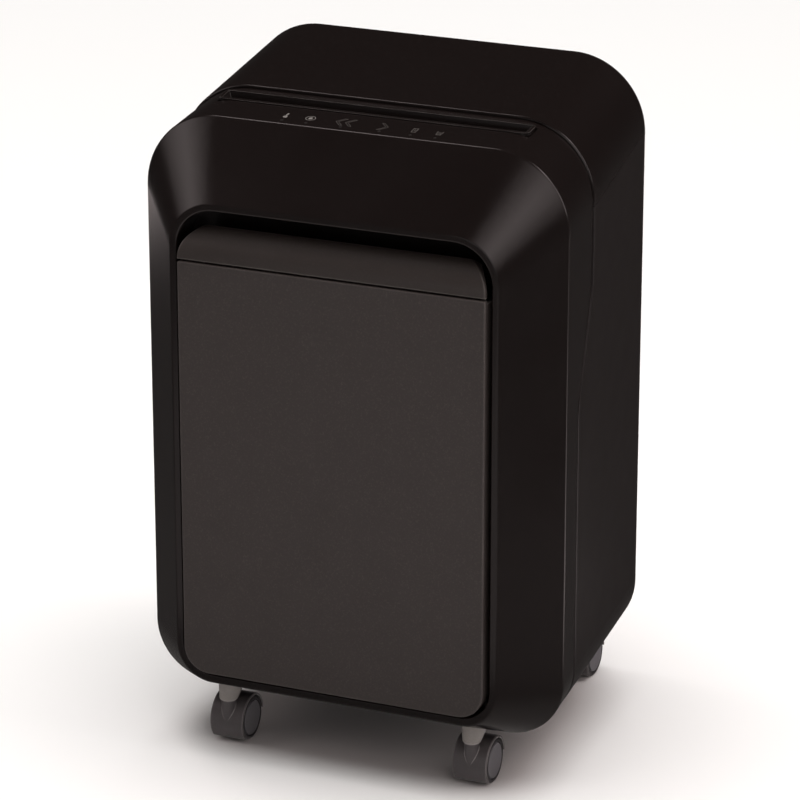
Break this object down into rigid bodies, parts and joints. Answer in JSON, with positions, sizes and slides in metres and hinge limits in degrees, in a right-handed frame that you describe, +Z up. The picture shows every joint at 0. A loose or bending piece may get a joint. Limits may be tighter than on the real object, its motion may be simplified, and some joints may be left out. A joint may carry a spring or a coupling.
{
  "type": "paper shredder",
  "caption": "Deskside paper shredder with a pull-out bin behind a charcoal door, a top paper slot, a bevelled gloss black frame and twin-wheel casters.",
  "frame": {"origin": "on the floor under the middle of the machine", "axes": "+Z up, -Y out of the front door, +X to the right seen from the front"},
  "size_m": [0.33, 0.28, 0.5156],
  "materials": {
    "gloss_black": "polished black moulding",
    "satin_black": "satin black moulding",
    "charcoal": "fine-grained charcoal moulding",
    "black_plastic": "plain black moulding",
    "lens": "smoked light pipe",
    "board_green": "solder resist",
    "zinc_steel": "zinc plated sheet",
    "screw_steel": "blackened screws",
    "bearing_bronze": "sintered bronze",
    "tool_steel": "ground tool steel",
    "natural_nylon": "moulded nylon",
    "comb_plastic": "moulded combs",
    "motor_case": "pressed steel motor case",
    "socket_grey": "mid-grey moulding",
    "caster_grey": "dark grey moulding",
    "pin_steel": "bright steel pin",
    "wheel_black": "dark grey nylon wheel",
    "button_white": "plain button",
    "rocker_black": "polished rocker",
    "soft_rubber": "soft black bush"
  },
  "bodies": {
    "cabinet": {"front_fascia": "gloss_black", "head_cover": "gloss_black", "cabinet_shell": "satin_black", "rear_cover": "satin_black", "rear_head_cover": "satin_black", "base_tray": "black_plastic", "throat_liner": "black_plastic", "head_deck": "black_plastic", "left_runner": "black_plastic", "right_runner": "black_plastic", "switch_housing": "black_plastic", "bin_switch": "black_plastic", "motor_cradle": "black_plastic", "paper_sensors": "black_plastic", "indicator_lenses": "lens", "touch_board": "board_green", "control_board": "board_green", "left_side_plate": "zinc_steel", "right_side_plate": "zinc_steel", "gear_plate": "zinc_steel", "tie_rods": "zinc_steel", "idler_axle": "zinc_steel", "plate_screws": "screw_steel", "rear_cover_screws": "screw_steel", "cutter_bearings": "bearing_bronze", "front_stripper": "comb_plastic", "rear_stripper": "comb_plastic", "motor": "motor_case", "caster_sockets": "socket_grey", "cord_bush": "soft_rubber"},
    "bin": {"bin_tub": "black_plastic", "door_panel": "charcoal", "door_screws": "screw_steel", "door_grip": "charcoal"},
    "front_cutter_shaft": {"front_cutter": "tool_steel", "front_cutter_gear": "tool_steel"},
    "rear_cutter_shaft": {"rear_cutter": "tool_steel", "rear_cutter_gear": "tool_steel"},
    "idler": {"idler_gear": "natural_nylon"},
    "motor_rotor": {"motor_pinion": "tool_steel"},
    "rocker": {"rocker_button": "rocker_black"},
    "bin_button": {"bin_switch_button": "button_white"},
    "front_left_caster": {"front_left_caster_hood": "caster_grey", "front_left_caster_pins": "pin_steel"},
    "front_left_left_wheel": {"front_left_caster_left_wheel": "wheel_black"},
    "front_left_right_wheel": {"front_left_caster_right_wheel": "wheel_black"},
    "front_right_caster": {"front_right_caster_hood": "caster_grey", "front_right_caster_pins": "pin_steel"},
    "front_right_left_wheel": {"front_right_caster_left_wheel": "wheel_black"},
    "front_right_right_wheel": {"front_right_caster_right_wheel": "wheel_black"},
    "rear_left_caster": {"rear_left_caster_hood": "caster_grey", "rear_left_caster_pins": "pin_steel"},
    "rear_left_left_wheel": {"rear_left_caster_left_wheel": "wheel_black"},
    "rear_left_right_wheel": {"rear_left_caster_right_wheel": "wheel_black"},
    "rear_right_caster": {"rear_right_caster_hood": "caster_grey", "rear_right_caster_pins": "pin_steel"},
    "rear_right_left_wheel": {"rear_right_caster_left_wheel": "wheel_black"},
    "rear_right_right_wheel": {"rear_right_caster_right_wheel": "wheel_black"}
  },
  "joints": [
    {"name": "bin_slide", "type": "slide", "parent": "cabinet", "child": "bin", "axis": [0, -1, 0], "range_m": [0, 0.255]},
    {"name": "front_left_swivel", "type": "hinge", "parent": "cabinet", "child": "front_left_caster", "pos_m": [-0.099, -0.1082, 0.0361], "axis": [0, 0, 1], "continuous": true},
    {"name": "front_left_left_wheel_spin", "type": "hinge", "parent": "front_left_caster", "child": "front_left_left_wheel", "pos_m": [-0.099, -0.094, 0.017], "axis": [1, 0, 0], "continuous": true},
    {"name": "front_left_right_wheel_spin", "type": "hinge", "parent": "front_left_caster", "child": "front_left_right_wheel", "pos_m": [-0.099, -0.094, 0.017], "axis": [1, 0, 0], "continuous": true},
    {"name": "front_right_swivel", "type": "hinge", "parent": "cabinet", "child": "front_right_caster", "pos_m": [0.099, -0.1082, 0.0361], "axis": [0, 0, 1], "continuous": true},
    {"name": "front_right_left_wheel_spin", "type": "hinge", "parent": "front_right_caster", "child": "front_right_left_wheel", "pos_m": [0.099, -0.094, 0.017], "axis": [1, 0, 0], "continuous": true},
    {"name": "front_right_right_wheel_spin", "type": "hinge", "parent": "front_right_caster", "child": "front_right_right_wheel", "pos_m": [0.099, -0.094, 0.017], "axis": [1, 0, 0], "continuous": true},
    {"name": "rear_left_swivel", "type": "hinge", "parent": "cabinet", "child": "rear_left_caster", "pos_m": [-0.099, 0.1053, 0.0361], "axis": [0, 0, 1], "continuous": true},
    {"name": "rear_left_left_wheel_spin", "type": "hinge", "parent": "rear_left_caster", "child": "rear_left_left_wheel", "pos_m": [-0.099, 0.1195, 0.017], "axis": [1, 0, 0], "continuous": true},
    {"name": "rear_left_right_wheel_spin", "type": "hinge", "parent": "rear_left_caster", "child": "rear_left_right_wheel", "pos_m": [-0.099, 0.1195, 0.017], "axis": [1, 0, 0], "continuous": true},
    {"name": "rear_right_swivel", "type": "hinge", "parent": "cabinet", "child": "rear_right_caster", "pos_m": [0.099, 0.1053, 0.0361], "axis": [0, 0, 1], "continuous": true},
    {"name": "rear_right_left_wheel_spin", "type": "hinge", "parent": "rear_right_caster", "child": "rear_right_left_wheel", "pos_m": [0.099, 0.1195, 0.017], "axis": [1, 0, 0], "continuous": true},
    {"name": "rear_right_right_wheel_spin", "type": "hinge", "parent": "rear_right_caster", "child": "rear_right_right_wheel", "pos_m": [0.099, 0.1195, 0.017], "axis": [1, 0, 0], "continuous": true},
    {"name": "rear_cutter_spin", "type": "hinge", "parent": "cabinet", "child": "rear_cutter_shaft", "pos_m": [0, -0.0355, 0.434], "axis": [1, 0, 0], "continuous": true},
    {"name": "front_cutter_spin", "type": "hinge", "parent": "cabinet", "child": "front_cutter_shaft", "pos_m": [0, -0.0755, 0.434], "axis": [1, 0, 0], "continuous": true},
    {"name": "idler_spin", "type": "hinge", "parent": "cabinet", "child": "idler", "pos_m": [0, -0.00725, 0.44902], "axis": [1, 0, 0], "continuous": true},
    {"name": "motor_spin", "type": "hinge", "parent": "cabinet", "child": "motor_rotor", "pos_m": [0, 0.02985, 0.43697], "axis": [1, 0, 0], "continuous": true},
    {"name": "rocker_tilt", "type": "hinge", "parent": "cabinet", "child": "rocker", "pos_m": [-0.084, 0.135, 0.4275], "axis": [1, 0, 0], "range_deg": [-16, 0]},
    {"name": "bin_button_press", "type": "slide", "parent": "cabinet", "child": "bin_button", "axis": [0, 1, 0], "range_m": [0, 0.0015], "stiffness_N_per_m": 300}
  ],
  "couplings": [
    {"joint": "front_cutter_spin", "follows": "rear_cutter_spin", "ratio": -1},
    {"joint": "idler_spin", "follows": "rear_cutter_spin", "ratio": -1.6667},
    {"joint": "motor_spin", "follows": "rear_cutter_spin", "ratio": 7.619}
  ]
}
